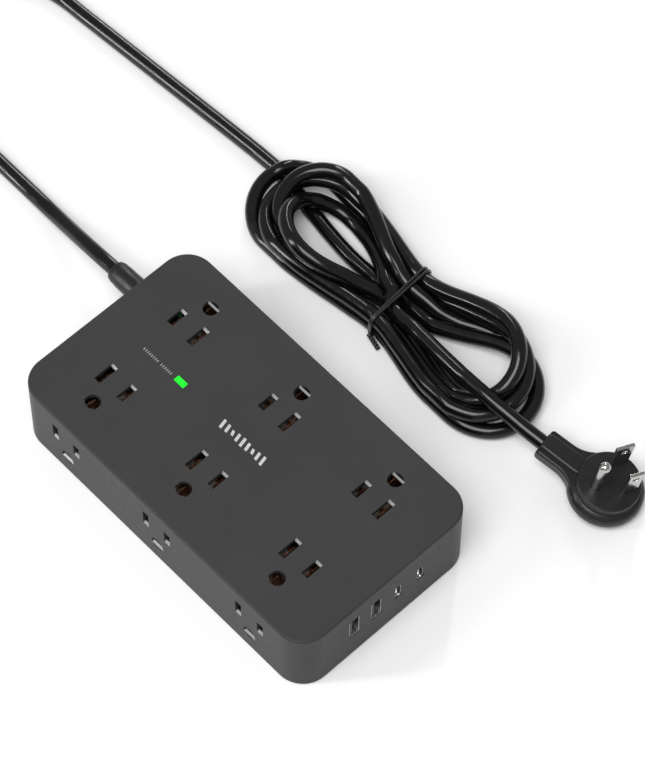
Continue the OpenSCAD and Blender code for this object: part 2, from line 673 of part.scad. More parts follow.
module cord_gland() color([0.05, 0.05, 0.055]) translate([gland_x, back_y, gland_pos[2]])
    rotate([-90, 0, 0]) rotate_extrude($fn = 64) polygon([
        [cord_r + 0.05, -wall - 3.4], [gland_r + 2.4, -wall - 3.4], [gland_r + 2.4, -wall - 0.1],
        [gland_r, -wall - 0.1], [gland_r, 2], [gland_tip_r + 0.5, gland_l - 3],
        [gland_tip_r, gland_l - 0.8], [cord_r + 0.6, gland_l], [cord_r + 0.05, gland_l]]);

module cord_stub() color([0.06, 0.06, 0.065]) translate([gland_x, stub_end, gland_pos[2]])
    rotate([-90, 0, 0]) cylinder(h = gland_end - stub_end, r = cord_r);

module cord_run() color([0.05, 0.05, 0.055]) tube(run_points, cord_r);

module cord_tail() color([0.05, 0.05, 0.055]) tube(tail_points, cord_r);

module cord_hank() color([0.05, 0.05, 0.055]) linear_extrude(hank_h) {
    translate(hank_top) circle(hank_r, $fn = 96);
    translate(hank_low) circle(hank_r, $fn = 96);
    polygon([[hank_top[0] - hank_r, hank_top[1]], [tie_x - tie_w - 1, tie_y + 8],
             [tie_x - tie_w - 1, tie_y - 8], [hank_low[0] - hank_r, hank_low[1]],
             [hank_low[0] + hank_r, hank_low[1]], [tie_x + tie_w + 1, tie_y - 8],
             [tie_x + tie_w + 1, tie_y + 8], [hank_top[0] + hank_r, hank_top[1]]]);
}

module hank_tie() color([0.04, 0.04, 0.04]) translate([tie_x, tie_y, 0]) difference() {
    box([-tie_w - 2.2, -1.6, 0], [tie_w + 2.2, 1.6, hank_h + 1]);
    box([-tie_w - 1, -1.6 - over, -over], [tie_w + 1, 1.6 + over, hank_h]);
}

// ---- plug ----------------------------------------------------------------

// the plug's face looks along +Z at z = 0, and its neck runs along +Y
module at_plug() translate(plug_pos) rotate([0, 0, plug_turn]) rotate([plug_lift, 0, 0]) children();
module at_blades() at_plug() rotate(blade_turn) translate([-ground_pitch/2, 0, 0]) children();
socket_d = 6;                           // depth of the blades inside the plug

module blade(w) translate([-w/2, -blade_t/2, -socket_d]) difference() {
    cube([w, blade_t, socket_d + blade_l]);
    translate([w/2, -over, socket_d + blade_l - 4]) rotate([-90, 0, 0])
        cylinder(h = blade_t + 2*over, r = 1.55);
}

shank_r = pin_r - 0.4;                  // the pin is thinner where it is moulded in
pin_step = 0.3;                         // height of the pin's shoulder above the face
module plug_cavities() {
    translate([ground_pitch, blade_y, 0]) box([-neutral_blade_w/2, -blade_t/2, -socket_d],
                                              [neutral_blade_w/2, blade_t/2, over]);
    translate([ground_pitch, -blade_y, 0]) box([-hot_blade_w/2, -blade_t/2, -socket_d],
                                               [hot_blade_w/2, blade_t/2, over]);
    translate([0, 0, -socket_d]) cylinder(h = socket_d + over, r = shank_r);
}

module plug_body() color([0.07, 0.07, 0.075]) difference() {
    at_plug() union() {
        translate([0, 0, -face_t]) cylinder(h = face_t, r = face_r, $fn = 96);
        translate([0, 0, -face_t - plug_t]) rotate_extrude($fn = 96) {
            translate([0, plug_round]) square([plug_r, plug_t - plug_round]);
            square([plug_r - plug_round, plug_round]);
            intersection() {
                translate([plug_r - plug_round, plug_round]) circle(plug_round, $fn = 64);
                translate([plug_r - plug_round, 0]) square(plug_round);
            }
        }
    }
    at_blades() plug_cavities();
    at_plug() neck_solid(0);
}

// the neck is let into the round body as far as its middle
neck_in = 12;
module neck_solid(ease) translate([0, neck_in + ease, neck_z]) rotate([-90, 0, 0]) {
    translate([-neck_w/2, -neck_h/2 + 1.5, 0]) cube([neck_w, neck_h - 3, neck_l - neck_in - ease]);
    translate([-neck_w/2 + 1.5, -neck_h/2, 0]) cube([neck_w - 3, neck_h, neck_l - neck_in - ease]);
    for (x = [-1, 1], y = [-1, 1]) translate([x*(neck_w/2 - 1.5), y*(neck_h/2 - 1.5), 0])
        cylinder(h = neck_l - neck_in - ease, r = 1.5);
}

module plug_neck() color([0.08, 0.08, 0.085]) at_plug() neck_solid(0.02);

module plug_hot_blade() color([0.85, 0.84, 0.8]) at_blades()
    translate([ground_pitch, -blade_y, 0]) blade(hot_blade_w);
module plug_neutral_blade() color([0.85, 0.84, 0.8]) at_blades()
    translate([ground_pitch, blade_y, 0]) blade(neutral_blade_w);
module plug_ground_pin() color([0.85, 0.84, 0.8]) at_blades() {
    translate([0, 0, -socket_d]) cylinder(h = socket_d + pin_l - pin_r, r = shank_r);
    translate([0, 0, pin_step]) cylinder(h = pin_l - pin_r - pin_step, r = pin_r);
    translate([0, 0, pin_l - pin_r]) sphere(pin_r);
}

top_housing();
bottom_cover();
rubber_feet();
case_screws();
indicator_lens();
indicator_lamp();
left_contact_tray();
right_contact_tray();
left_side_holder();
right_side_holder();
hot_bus_top_left();
neutral_bus_top_left();
ground_bus_top_left();
hot_bus_top_right();
neutral_bus_top_right();
ground_bus_top_right();
hot_bus_side_left();
neutral_bus_side_left();
ground_bus_side_left();
hot_bus_side_right();
neutral_bus_side_right();
ground_bus_side_right();
surge_board();
varistors();
thermal_fuse();
filter_capacitor();
usb_power_board();
usb_port_board();
usb_transformer();
usb_capacitors();
usb_a_shell_1();
usb_a_shell_2();
usb_a_tongue_1();
usb_a_tongue_2();
usb_c_port_1();
usb_c_port_2();
breaker_body();
breaker_nut();
breaker_button();
breaker_terminals();
line_wire();
neutral_wire();
ground_wire();
breaker_wire();
hot_jumpers();
neutral_jumpers();
ground_jumpers();
cord_clamp();
clamp_screws();
cord_gland();
cord_stub();
cord_run();
cord_hank();
hank_tie();
cord_tail();
plug_body();
plug_neck();
plug_hot_blade();
plug_neutral_blade();
plug_ground_pin();
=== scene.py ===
"""Looks of a desk power strip with its cord tied in a hank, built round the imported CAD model."""
import json
import math

import bmesh
import bpy
import numpy as np
from mathutils import Matrix, Vector

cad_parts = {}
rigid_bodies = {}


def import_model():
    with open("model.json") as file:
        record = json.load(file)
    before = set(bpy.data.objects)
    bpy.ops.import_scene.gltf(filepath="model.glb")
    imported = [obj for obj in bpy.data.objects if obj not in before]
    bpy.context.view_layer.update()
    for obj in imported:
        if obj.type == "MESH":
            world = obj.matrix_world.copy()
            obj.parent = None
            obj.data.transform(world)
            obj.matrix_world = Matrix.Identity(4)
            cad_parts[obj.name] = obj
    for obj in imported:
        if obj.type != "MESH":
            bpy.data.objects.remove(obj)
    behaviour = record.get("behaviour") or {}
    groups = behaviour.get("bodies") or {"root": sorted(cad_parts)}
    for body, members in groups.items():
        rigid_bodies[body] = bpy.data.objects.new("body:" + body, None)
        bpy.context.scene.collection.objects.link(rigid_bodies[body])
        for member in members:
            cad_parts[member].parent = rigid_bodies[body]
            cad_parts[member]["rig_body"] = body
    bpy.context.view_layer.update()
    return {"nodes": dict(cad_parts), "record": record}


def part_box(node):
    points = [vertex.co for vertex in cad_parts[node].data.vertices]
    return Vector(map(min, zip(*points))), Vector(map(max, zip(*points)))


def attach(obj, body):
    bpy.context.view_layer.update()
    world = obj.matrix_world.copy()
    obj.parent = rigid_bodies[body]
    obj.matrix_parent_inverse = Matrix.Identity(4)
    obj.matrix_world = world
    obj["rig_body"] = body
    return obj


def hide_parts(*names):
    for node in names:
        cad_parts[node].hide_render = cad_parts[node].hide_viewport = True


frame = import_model()
MM = 0.001

# ---- camera: a long lens that looks down from beyond the near left corner ----

VIEW_AZIMUTH, VIEW_ELEVATION, VIEW_ROLL = -43.633, 60.05, 0.461
VIEW_TARGET = Vector((55.72, 12.47, 0.8)) * MM
VIEW_DISTANCE = 1.5437
SENSOR, LENS = 36.0, 171.54


def make_camera():
    a, e = math.radians(VIEW_AZIMUTH), math.radians(VIEW_ELEVATION)
    back = Vector((math.sin(a) * math.cos(e), -math.cos(a) * math.cos(e), math.sin(e)))
    right = Vector((math.cos(a), math.sin(a), 0))
    up = back.cross(right)
    turn = Matrix((right, up, back)).transposed().to_4x4()
    camera = bpy.data.objects.new("camera", bpy.data.cameras.new("camera"))
    bpy.context.scene.collection.objects.link(camera)
    roll = Matrix.Rotation(math.radians(VIEW_ROLL), 4, "Z")
    camera.matrix_world = Matrix.Translation(VIEW_TARGET + back * VIEW_DISTANCE) @ turn @ roll
    camera.data.sensor_width = SENSOR
    camera.data.lens = LENS
    camera.data.clip_start, camera.data.clip_end = 0.05, 20
    bpy.context.scene.camera = camera


make_camera()

# ---- small helpers ----


def link(name, data):
    obj = bpy.data.objects.new(name, data)
    bpy.context.scene.collection.objects.link(obj)
    return obj


def mesh_object(name, points, faces):
    mesh = bpy.data.meshes.new(name)
    mesh.from_pydata([tuple(p) for p in points], [], faces)
    mesh.validate()
    return link(name, mesh)


def shade(obj, sharp_angle=35):
    """Smooth shading that keeps every edge sharper than the angle."""
    bm = bmesh.new()
    bm.from_mesh(obj.data)
    bmesh.ops.recalc_face_normals(bm, faces=bm.faces)
    for face in bm.faces:
        face.smooth = True
    for edge in bm.edges:
        edge.smooth = not (edge.is_manifold and edge.calc_face_angle(0) > math.radians(sharp_angle))
    bm.to_mesh(obj.data)
    bm.free()
    obj.modifiers.new("normals", "WEIGHTED_NORMAL").keep_sharp = True
    return obj


def soft_copy(node, name, bevel, segments=2, angle=38):
    """A copy of a CAD node with its sharp edges rounded a little, which stands for the node."""
    bm = bmesh.new()
    bm.from_mesh(frame["nodes"][node].data)
    bmesh.ops.remove_doubles(bm, verts=bm.verts, dist=2e-6)
    bmesh.ops.dissolve_limit(bm, angle_limit=math.radians(0.6), verts=bm.verts, edges=bm.edges)
    sharp = [e for e in bm.edges if e.is_manifold and e.calc_face_angle(0) > math.radians(angle)]
    if bevel:
        bmesh.ops.bevel(bm, geom=sharp, offset=bevel, segments=segments, profile=0.5,
                        affect="EDGES", clamp_overlap=True)
    mesh = bpy.data.meshes.new(name)
    bm.to_mesh(mesh)
    bm.free()
    obj = link(name, mesh)
    shade(obj)
    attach(obj, frame["nodes"][node]["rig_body"])
    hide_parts(node)
    return obj


def lathe(name, profile, place, segments=96):
    """Turns a profile of (radius, height) round the Z axis of a place."""
    points, faces = [], []
    n = len(profile)
    for k in range(segments):
        a = 2 * math.pi * k / segments
        points += [place @ Vector((r * math.cos(a), r * math.sin(a), z)) for r, z in profile]
    for k in range(segments):
        for i in range(n - 1):
            a, b = k * n + i, ((k + 1) % segments) * n + i
            faces.append((a, b, b + 1, a + 1))
    obj = mesh_object(name, points, faces)
    bm = bmesh.new()
    bm.from_mesh(obj.data)
    bmesh.ops.remove_doubles(bm, verts=bm.verts, dist=1e-6)
    bm.to_mesh(obj.data)
    bm.free()
    return obj


def fillet(profile, radius, steps=4):
    """Rounds the inner corners of a profile."""
    out = [profile[0]]
    for a, b, c in zip(profile, profile[1:], profile[2:]):
        a, b, c = Vector(a), Vector(b), Vector(c)
        r = min(radius, (a - b).length * 0.45, (c - b).length * 0.45)
        p, q = b + (a - b).normalized() * r, b + (c - b).normalized() * r
        for s in range(steps + 1):
            t = s / steps
            out.append(tuple(p * (1 - t) ** 2 + b * 2 * t * (1 - t) + q * t * t))
    return out + [profile[-1]]


# ---- cord: the run repeats the CAD route, and the hank is wound and then let settle ----

CORD_D = 6.8 * MM
CORD_R = CORD_D / 2
RUN = [Vector(p) * MM for p in (
    (24.1, 106.4, 18.3), (24.4, 116, 17), (25.6, 128, 13.4), (27.4, 141, 8.4), (28.9, 154, 4.6),
    (29.5, 168, 3.4), (29.6, 188, 3.4), (29.6, 208, 3.4), (30.4, 226, 3.4), (34, 243, 3.4),
    (42, 258, 3.4), (54, 268, 3.4), (68, 271.5, 3.4), (82, 269.5, 3.4), (94.5, 262, 3.4),
    (103, 250, 3.4), (106.6, 236, 3.4), (107.8, 220, 3.4), (109, 202, 3.4), (110.2, 184, 3.4),
    (111.4, 166, 3.4), (112.6, 148, 3.4), (113.8, 130, 3.4), (114.6, 116, 3.4), (115, 102.5, 3.4))]
LEAD_IN = [Vector(p) * MM for p in ((112.8, 88, 3.4), (110.5, 72, 3.4), (109.5, 55, 3.4))]
LEAD_OUT = [Vector(p) * MM for p in (
    (97.4, -2, 14.6), (96.2, -16, 16), (95.5, -30, 17), (95.7, -42, 16.9), (96.4, -51, 15.9),
    (97.4, -58.8, 14.4), (98.1, -66.2, 13.5), (99.28, -73.76, 12.21))]
TIE = (104 * MM, 18 * MM)
TIE_HALF = 14.2 * MM                    # reach of the cord's middle line to each side at the tie
WAIST = 40 * MM                         # the hank widens to its full width this far from the tie
SLOT_PITCH = 6.9 * MM
TIE_WIRE = 0.62 * MM                    # radius of the tie's wire
UPPER = 9.4 * MM                        # height of the upper row of strands under the tie
# the passes under the tie: place across it in slots, and lower or upper row
SLOTS = {0: (1, 0), 1: (-2, 0), 2: (2, 0), 3: (-1.5, 1), 4: (1.5, 1), 5: (-1, 0), 6: (0.5, 1),
         7: (0, 0), 8: (-0.5, 1)}
LEVELS = [CORD_R + CORD_D * k for k in range(4)]
FAR_LEVELS = [LEVELS[0], LEVELS[1], LEVELS[2], LEVELS[0]]
NEAR_FRONT = [LEVELS[0], LEVELS[1], 14 * MM, 14 * MM]
# the turns at each end, from the outermost: middle across, radius, tip along the hank
BACK_TURNS = [(106.5, 20.6, 100.5), (106.2, 19.4, 93), (105, 17.8, 85.5), (103, 15.6, 78)]
FRONT_TURNS = [(104.5, 20.6, -57), (104.8, 19.8, -50), (105.6, 18.8, -43.5), (106.6, 17.6, -37)]
BACK_APEX, FRONT_APEX = 11 * MM, 4 * MM
HANK_ENDS = [((106.5 * MM, 80 * MM), 1), ((104.5 * MM, -36.5 * MM), -1)]
HANK_REACH = 20.7 * MM
HANK_TOP = 23.2 * MM


def slot_point(k):
    across, row = SLOTS[k]
    return (TIE[0] + across * SLOT_PITCH, TIE[1], UPPER if row else CORD_R)


def half_turn(spec, side, near_z, far_z, apex, ease):
    """Points of one turn, from the near long side to the far one."""
    x, r, tip = (v * MM for v in spec)
    points = []
    for a in np.radians(np.arange(-90, 91, 10)):
        z = apex + ((near_z if a < 0 else far_z) - apex) * abs(math.sin(a)) ** ease
        points.append((x + r * math.sin(a), tip - side * r * (1 - math.cos(a)), z))
    return points


def stretch(a, b, n=9):
    """Points between a turn and the tie: slanted at the tie, straight at the turn."""
    a, b = np.array(a), np.array(b)
    leaves_tie = abs(a[1] - TIE[1]) < 1e-5
    points = []
    for t in np.linspace(0, 1, n + 2)[1:-1]:
        p = a + (b - a) * t
        across = math.sin(math.pi * t / 2) if leaves_tie else 1 - math.cos(math.pi * t / 2)
        p[0] = a[0] + (b[0] - a[0]) * across
        p[2] = a[2] + (b[2] - a[2]) * t * t * (3 - 2 * t)
        points.append(p)
    return points


def wound_hank():
    """The cord from the end of the run to the plug: four turns at each end of the tie."""
    points = [np.array(p) for p in RUN[-3:] + LEAD_IN]

    def go_to(goals):
        points.extend(stretch(points[-1], goals[0]) + [np.array(g) for g in goals])

    go_to([slot_point(0)])
    for k in range(4):
        go_to(half_turn(FRONT_TURNS[k], -1, NEAR_FRONT[k], FAR_LEVELS[k], FRONT_APEX, 2)[::-1])
        go_to([slot_point(2 * k + 1)])
        go_to(half_turn(BACK_TURNS[k], 1, LEVELS[k], FAR_LEVELS[k], BACK_APEX, 1.3))
        go_to([slot_point(2 * k + 2)])
    go_to([tuple(p) for p in LEAD_OUT])
    return np.array(points, float)


def even(points, step):
    """The same line with its points a step apart."""
    run = np.r_[0, np.cumsum(np.linalg.norm(np.diff(points, axis=0), axis=1))]
    at = np.linspace(0, run[-1], int(round(run[-1] / step)) + 1)
    return np.stack([np.interp(at, run, points[:, i]) for i in range(3)], 1)


def hold_in_hank(p):
    """Keeps the line inside the hank's outline and under the tie."""
    p = p.copy()
    lift = (HANK_TOP - UPPER) * np.minimum(np.abs(p[:, 1] - TIE[1]) / WAIST, 1) ** 1.5
    p[:, 2] = np.minimum(p[:, 2], UPPER + 0.4 * MM + lift)
    for (x, y), side in HANK_ENDS:
        v = p[:, :2] - (x, y)
        reach = np.linalg.norm(v, axis=1)
        out = (side * v[:, 1] > 0) & (reach > HANK_REACH)
        p[out, :2] = np.array((x, y)) + v[out] * (HANK_REACH / reach[out])[:, None]
    (x1, y1), (x0, y0) = HANK_ENDS[0][0], HANK_ENDS[1][0]
    middle = (p[:, 1] < y1) & (p[:, 1] > y0)
    x = x0 + (x1 - x0) * (p[middle, 1] - y0) / (y1 - y0)
    t = np.minimum(np.abs(p[middle, 1] - TIE[1]) / WAIST, 1)
    reach = TIE_HALF + (HANK_REACH - TIE_HALF) * t * t * (3 - 2 * t)
    p[middle, 0] = np.clip(p[middle, 0], x - reach, x + reach)
    return p


def settle(p, rounds=240, step=3.4 * MM, least_bend=3.3 * CORD_D, head=30 * MM, tail=96 * MM):
    """Pushes strands that touch apart, lets them lie down and keeps the bends round."""
    p = even(p, step)
    count = len(p)
    home, place = p.copy(), np.arange(count)
    first, second = np.nonzero(np.triu(np.abs(place[:, None] - place[None]) * step > 5 * CORD_D))
    free = ((place > head / step) & (place < count - 1 - tail / step))[:, None] * 1.0
    touch = 1.02 * CORD_D
    for turn in range(rounds):
        pull = 0.02 if turn < rounds / 2 else 0
        p = p + free * (pull * (home - p) - (0, 0, 0.05 * MM))
        for m in (1, 2, 4):             # stiffness: each point is drawn to a smooth line
            lap = np.zeros_like(p)
            lap[2 * m:-2 * m] = (4 * (p[m:-3 * m] + p[3 * m:-m]) - p[:-4 * m] - p[4 * m:]
                                 - 6 * p[2 * m:-2 * m]) / 6
            p = p + free * lap * 0.35
        for m in (2, 3, 5):             # the tightest bend, as the least length of a chord
            want = 2 * least_bend * math.sin(m * step / least_bend)
            v = p[2 * m:] - p[:-2 * m]
            length = np.linalg.norm(v, axis=1)[:, None]
            push = 0.25 * np.maximum(want - length, 0) * v / length
            move = np.zeros_like(p)
            move[2 * m:] += push
            move[:-2 * m] -= push
            p = p + free * move
        v = np.diff(p, axis=0)
        length = np.linalg.norm(v, axis=1)[:, None]
        push = 0.25 * (length - step) * v / length
        move = np.zeros_like(p)
        move[:-1] += push
        move[1:] -= push
        p = p + free * move
        for _ in range(3):              # strands keep a diameter apart
            gap = p[first] - p[second]
            near = np.nonzero((np.abs(gap) < touch).all(1))[0]
            near = near[np.linalg.norm(gap[near], axis=1) < touch]
            gap = gap[near]
            length = np.linalg.norm(gap, axis=1)[:, None]
            push = 0.5 * (touch - length) * gap / np.maximum(length, 1e-6)
            move, hits = np.zeros_like(p), np.zeros(count)
            for ends, sign in ((first[near], 1), (second[near], -1)):
                np.add.at(move, ends, sign * push)
                np.add.at(hits, ends, 1)
            p = p + free * move / np.maximum(hits, 1)[:, None] * 1.2
            p[:, 2] = np.maximum(p[:, 2], CORD_R)
            p = p + free * (hold_in_hank(p) - p)
    return p


def smooth_line(points, per_span):
    """A Catmull-Rom curve through the points."""
    p = np.vstack([2 * points[0] - points[1], points, 2 * points[-1] - points[-2]])
    out = []
    for a, b, c, d in zip(p, p[1:], p[2:], p[3:]):
        for t in np.arange(per_span) / per_span:
            out.append(0.5 * (2 * b + (c - a) * t + (2 * a - 5 * b + 4 * c - d) * t * t
                              + (3 * b - a - 3 * c + d) * t ** 3))
    return np.array(out + [points[-1]])


def round_wire(name, lines, radius, closed=False, resolution=5):
    """A round wire along each line. Its radius sits on the points, so that its box stays true."""
    curve = bpy.data.curves.new(name, "CURVE")
    curve.dimensions = "3D"
    curve.bevel_depth = 1
    curve.bevel_resolution = resolution
    curve.use_fill_caps = True
    for line in lines:
        spline = curve.splines.new("POLY")
        spline.points.add(len(line) - 1)
        spline.points.foreach_set("co", np.c_[np.array(line, float), np.ones(len(line))].ravel())
        spline.points.foreach_set("radius", np.full(len(line), radius))
        spline.use_cyclic_u = closed
        spline.use_smooth = True
    return link(name, curve)


def make_cord():
    run = smooth_line(np.array([tuple(p) for p in RUN[:-2]]), 6)
    hank = smooth_line(settle(wound_hank()), 2)
    line = np.vstack([run, hank[1:]])
    length = float(np.linalg.norm(np.diff(line, axis=0), axis=1).sum())
    return round_wire("mains_cord", [line], CORD_R), length, line


mains_cord, cord_length, cord_line = make_cord()
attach(mains_cord, "root")
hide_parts("cord_run", "cord_hank", "cord_tail")

# ---- strain relief, plug and tie: the pieces on the cord ----

BACK_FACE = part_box("top_housing")[1].y
CORD_EXIT = RUN[0]
GLAND_PLACE = (Matrix.Translation((CORD_EXIT.x, BACK_FACE, CORD_EXIT.z))
               @ Matrix.Rotation(math.radians(-90), 4, "X"))
PLUG_PLACE = (Matrix.Translation(Vector((105, -106.2, 15.6)) * MM)
              @ Matrix.Rotation(math.radians(10), 4, "Z") @ Matrix.Rotation(math.radians(9), 4, "X"))


def mm(points):
    return [tuple(v * MM for v in p) for p in points]


def make_strain_relief():
    """A moulded sleeve with a collar at the case and a rounded mouth."""
    profile = mm([(3.45, -5.6), (8.2, -5.6), (8.2, -2.3), (5.8, -2.3), (5.8, 2.6), (5.45, 4.0),
                  (5.3, 15), (5.05, 18.6), (4.6, 20.5), (3.9, 21), (3.42, 20.2)])
    obj = shade(lathe("strain_relief", fillet(profile, 0.7 * MM), GLAND_PLACE, 72), 50)
    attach(obj, "root")
    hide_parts("cord_gland")
    return obj


def make_plug_shell():
    """The round moulded body with a stepped face."""
    profile = mm([(0, 0), (13.1, 0), (13.45, -0.4), (13.55, -3.7), (13.3, -4.3), (14.5, -5), (15.8, -6.2),
                  (16.3, -8), (16.3, -10.2), (15.2, -12.3), (12.9, -13.6), (10, -14), (0, -14)])
    obj = shade(lathe("plug_shell", fillet(profile, 0.9 * MM), PLUG_PLACE, 128), 50)
    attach(obj, "root")
    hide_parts("plug_body")
    return obj


def rounded_section(half_w, half_h, corner, steps=5):
    """Outline of a rectangle with round corners, as (across, up)."""
    points = []
    for k, (sx, sy) in enumerate(((1, 1), (-1, 1), (-1, -1), (1, -1))):
        for s in range(steps + 1):
            a = math.radians(90 * (k + s / steps))
            points.append((sx * (half_w - corner) + corner * math.cos(a),
                           sy * (half_h - corner) + corner * math.sin(a)))
    return points


def loft(name, sections, place):
    """A closed skin over sections given as (along Y, outline, middle height)."""
    points, faces = [], []
    n = len(sections[0][1])
    for y, outline, z in sections:
        points += [place @ Vector((x * MM, y * MM, (z + up) * MM)) for x, up in outline]
    for k in range(len(sections) - 1):
        for i in range(n):
            a, b = k * n + i, k * n + (i + 1) % n
            faces.append((a, b, b + n, a + n))
    faces.append(tuple(range(n - 1, -1, -1)))
    faces.append(tuple(range((len(sections) - 1) * n, len(sections) * n)))
    return mesh_object(name, points, faces)


NECK_MIDDLE = -8.5                      # height of the neck's middle under the plug's face, in mm
NECK_START, NECK_END, FLARE_END = 8, 32, 22
NECK_HALF_WIDTH, NECK_HALF_HEIGHT, FLARE = 6.5, 3.1, 7.5
BARREL = ((10, 4.2, 4.2), (13.2, 4.2, 4.4), (14.6, 4.4, 4.5), (28, 4.2, 4.5),
          (30.8, 4.1, 4.45), (31.7, 3.9, 4.2), (32, 3.6, 3.8))     # along, half width, half height


def make_plug_sleeve():
    """The neck: flat wings that flare into the body, and a barrel for the cord between them."""
    wings, barrel = [], []
    for y in range(NECK_START, NECK_END + 1):
        flare = NECK_HALF_WIDTH + FLARE * max(0, (FLARE_END - y) / (FLARE_END - NECK_START)) ** 2.2
        width, height = (0.96, 0.65) if y == NECK_END else (1, 1)
        section = rounded_section(flare * width, NECK_HALF_HEIGHT * height, 1.1)
        wings.append((y, section, NECK_MIDDLE))
    for y, half_w, half_h in BARREL:
        barrel.append((y, rounded_section(half_w, half_h, 1.5), NECK_MIDDLE))
    parts = [loft("plug_sleeve", wings, PLUG_PLACE), loft("plug_barrel", barrel, PLUG_PLACE)]
    for obj in parts:
        shade(obj, 40)
        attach(obj, "root")
    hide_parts("plug_neck")
    return parts


def hull_of(points):
    """The convex outline of flat points, anticlockwise."""
    ordered = sorted(map(tuple, points))

    def half(row):
        out = []
        for p in row:
            while len(out) > 1 and ((out[-1][0] - out[-2][0]) * (p[1] - out[-2][1])
                                    - (out[-1][1] - out[-2][1]) * (p[0] - out[-2][0])) <= 0:
                out.pop()
            out.append(p)
        return out[:-1]

    return half(ordered) + half(ordered[::-1])


def make_tie():
    """A coated wire tie: two turns drawn tight round the strands, and twisted at the near side."""
    middles = [a + (b - a) * (TIE[1] - a[1]) / (b[1] - a[1]) for a, b in zip(cord_line, cord_line[1:])
               if (a[1] - TIE[1]) * (b[1] - TIE[1]) < 0 and a[0] > TIE[0] - 30 * MM]
    reach = CORD_R + TIE_WIRE
    turns = np.linspace(0, 2 * math.pi, 48, endpoint=False)
    outline = np.array(hull_of([(m[0] + reach * math.cos(a), max(m[2] + reach * math.sin(a), TIE_WIRE))
                                for m in middles for a in turns]))
    half = (outline[:, 0].max() - outline[:, 0].min()) / 2
    loops = []
    for shift in (-1.05 * TIE_WIRE, 1.05 * TIE_WIRE):
        across = (outline[:, 0] - TIE[0]) / half
        y = TIE[1] + shift * (1 + 0.5 * across) + 1.2 * MM * across
        ring = np.stack([outline[:, 0], y, outline[:, 1]], 1)
        loops.append(even(np.vstack([ring, ring[:1]]), 0.7 * MM)[:-1])
    tie = round_wire("wire_tie", loops, TIE_WIRE, closed=True, resolution=3)
    near = Vector((outline[:, 0].min() - 0.7 * MM, TIE[1] - 1.2 * MM, 3.6 * MM))
    twist = []
    for phase in (0, math.pi):
        a = np.linspace(0, 5 * math.pi, 60)
        down = a / a[-1]
        twist.append(np.stack([near.x + TIE_WIRE * np.cos(a + phase) - 1.2 * MM * down,
                               near.y - 7 * MM * down,
                               near.z + TIE_WIRE * np.sin(a + phase) - 2.3 * MM * down], 1))
    ends = round_wire("tie_twist", twist, TIE_WIRE * 0.9, resolution=3)
    for piece in (tie, ends):
        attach(piece, "root")
    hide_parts("hank_tie")
    return [tie, ends]


strain_relief = make_strain_relief()
plug_shell = make_plug_shell()
plug_neck_parts = make_plug_sleeve()
tie_parts = make_tie()
plug_pins = [soft_copy("plug_hot_blade", "hot_blade", 0.32 * MM),
             soft_copy("plug_neutral_blade", "neutral_blade", 0.32 * MM),
             soft_copy("plug_ground_pin", "ground_pin", 0)]

# ---- materials ----


class Nodes:
    """A node tree with short calls: each returns the new node's output."""

    def __init__(self, name):
        self.material = bpy.data.materials.new(name)
        self.material.use_nodes = True
        self.tree = self.material.node_tree
        self.shader = self.tree.nodes["Principled BSDF"]
        self.where = self.add("ShaderNodeTexCoord").outputs["Object"]

    def add(self, kind, **values):
        node = self.tree.nodes.new(kind)
        for key, value in values.items():
            if key in node.inputs:
                node.inputs[key].default_value = value
            else:
                setattr(node, key, value)
        return node

    def join(self, a, b):
        self.tree.links.new(a, b)

    def stretched(self, scale):
        node = self.add("ShaderNodeMapping")
        node.inputs["Scale"].default_value = scale
        self.join(self.where, node.inputs["Vector"])
        return node.outputs["Vector"]

    def noise(self, scale, detail=3, where=None):
        node = self.add("ShaderNodeTexNoise", Scale=scale, Detail=detail)
        self.join(where or self.where, node.inputs["Vector"])
        return node.outputs["Fac"]

    def grains(self, scale, where=None):
        node = self.add("ShaderNodeTexVoronoi", Scale=scale)
        self.join(where or self.where, node.inputs["Vector"])
        return node.outputs["Distance"]

    def ramp(self, source, stops):
        node = self.add("ShaderNodeValToRGB")
        ramp = node.color_ramp
        while len(ramp.elements) < len(stops):
            ramp.elements.new(0.5)
        for element, (at, color) in zip(ramp.elements, stops):
            element.position = at
            element.color = (*color, 1)
        self.join(source, node.inputs["Fac"])
        return node.outputs["Color"]

    def spread(self, source, low, high, start=0.3, end=0.7):
        node = self.add("ShaderNodeMapRange")
        for key, value in (("From Min", start), ("From Max", end), ("To Min", low), ("To Max", high)):
            node.inputs[key].default_value = value
        self.join(source, node.inputs["Value"])
        return node.outputs["Result"]

    def bump(self, source, depth, before=None):
        node = self.add("ShaderNodeBump", Strength=1.0, Distance=depth)
        self.join(source, node.inputs["Height"])
        if before:
            self.join(before, node.inputs["Normal"])
        return node.outputs["Normal"]

    def finish(self, color=None, roughness=None, normal=None, **values):
        for key, source in (("Base Color", color), ("Roughness", roughness), ("Normal", normal)):
            if source:
                self.join(source, self.shader.inputs[key])
        for key, value in values.items():
            self.shader.inputs[key.replace("_", " ")].default_value = value
        return self.material


def shades(color, by):
    """A colour a little darker and a little lighter."""
    return tuple(c * (1 - by) for c in color), tuple(min(1, c * (1 + by)) for c in color)


def moulded_plastic(name, color, roughness, grain=2600, depth=0.012, coat=0.0, vary=0.12, spec=0.5):
    """Injection-moulded plastic: a fine spark-eroded grain, cloudy gloss and slight colour drift."""
    n = Nodes(name)
    dark, light = shades(color, vary)
    tone = n.ramp(n.noise(38, 4), [(0.35, dark), (0.65, light)])
    gloss = n.spread(n.noise(420, 4), roughness - 0.03, roughness + 0.04)
    fine = n.bump(n.grains(grain), depth * MM)
    normal = n.bump(n.noise(60, 2), 0.01 * MM, fine)
    return n.finish(tone, gloss, normal, Coat_Weight=coat, Coat_Roughness=0.25, Specular_IOR_Level=spec)


